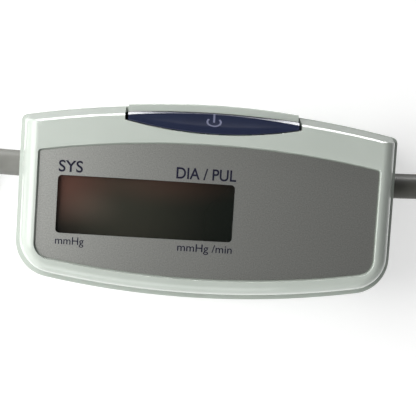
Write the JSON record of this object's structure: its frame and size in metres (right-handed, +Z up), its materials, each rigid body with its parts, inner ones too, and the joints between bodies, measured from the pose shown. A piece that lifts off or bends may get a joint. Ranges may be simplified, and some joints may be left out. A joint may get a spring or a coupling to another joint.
{
  "type": "upper-arm blood pressure monitor",
  "caption": "Compact digital upper-arm blood pressure monitor with a silver face, a long display window, a blue start button on its edge and an air hose on each side.",
  "frame": {"origin": "on the table the monitor lies on, under the middle of the case", "axes": "+X to the right along the case, +Y towards the edge with the start button, +Z up out of the face"},
  "size_m": [0.4373, 0.0696, 0.0308],
  "materials": {
    "case_white": "glossy moulded ABS, white with a cool green cast",
    "panel_silver": "silver metallic lacquer with fine speckle",
    "window_clear": "clear glossy acrylic",
    "button_blue": "glossy dark blue",
    "silicone": "translucent silicone",
    "board_green": "green solder mask",
    "black_plastic": "fine-grained black",
    "display_glass": "grey-green display cell with its polariser",
    "foam": "black foam",
    "component_metal": "satin",
    "grey_plastic": "satin moulded grey",
    "brass": "turned",
    "cell_jacket": "plain printed sleeve",
    "spring_steel": "nickel-plated spring steel",
    "screw_steel": "zinc-plated",
    "foot_rubber": "matt rubber",
    "hose_light": "light grey soft rubber",
    "hose_dark": "dark grey soft rubber",
    "tie_black": "woven hook-and-loop strap"
  },
  "bodies": {
    "case": {"front_shell": "case_white", "rear_shell": "case_white", "face_panel": "panel_silver", "display_window": "window_clear", "button_dome": "silicone", "circuit_board": "board_green", "lcd_holder": "black_plastic", "lcd_glass": "display_glass", "lcd_gasket": "foam", "zebra_strip": "silicone", "processor_chip": "black_plastic", "board_parts": "component_metal", "buzzer": "black_plastic", "left_port": "grey_plastic", "right_port": "grey_plastic", "air_manifold": "grey_plastic", "left_inner_tube": "silicone", "right_inner_tube": "silicone", "pressure_sensor": "black_plastic", "sensor_tube": "silicone", "bleed_valve": "brass", "battery_1": "cell_jacket", "battery_2": "cell_jacket", "battery_springs": "spring_steel", "battery_contacts": "spring_steel", "case_screws": "screw_steel", "board_screws": "screw_steel", "rubber_feet": "foot_rubber", "left_hose": "hose_light", "left_hank": "hose_light", "left_connector": "grey_plastic", "left_tie": "tie_black", "right_hose": "hose_dark", "right_connector": "grey_plastic"},
    "button": {"start_button": "button_blue"},
    "door": {"battery_door": "case_white"}
  },
  "joints": [
    {"name": "start_press", "type": "slide", "parent": "case", "child": "button", "axis": [0, 0, -1], "range_m": [0, 0.001], "stiffness_N_per_m": 1500, "springref_m": -0.0003, "deforming": ["button_dome"]},
    {"name": "door_slide", "type": "slide", "parent": "case", "child": "door", "axis": [0, -1, 0], "range_m": [0, 0.045]}
  ]
}
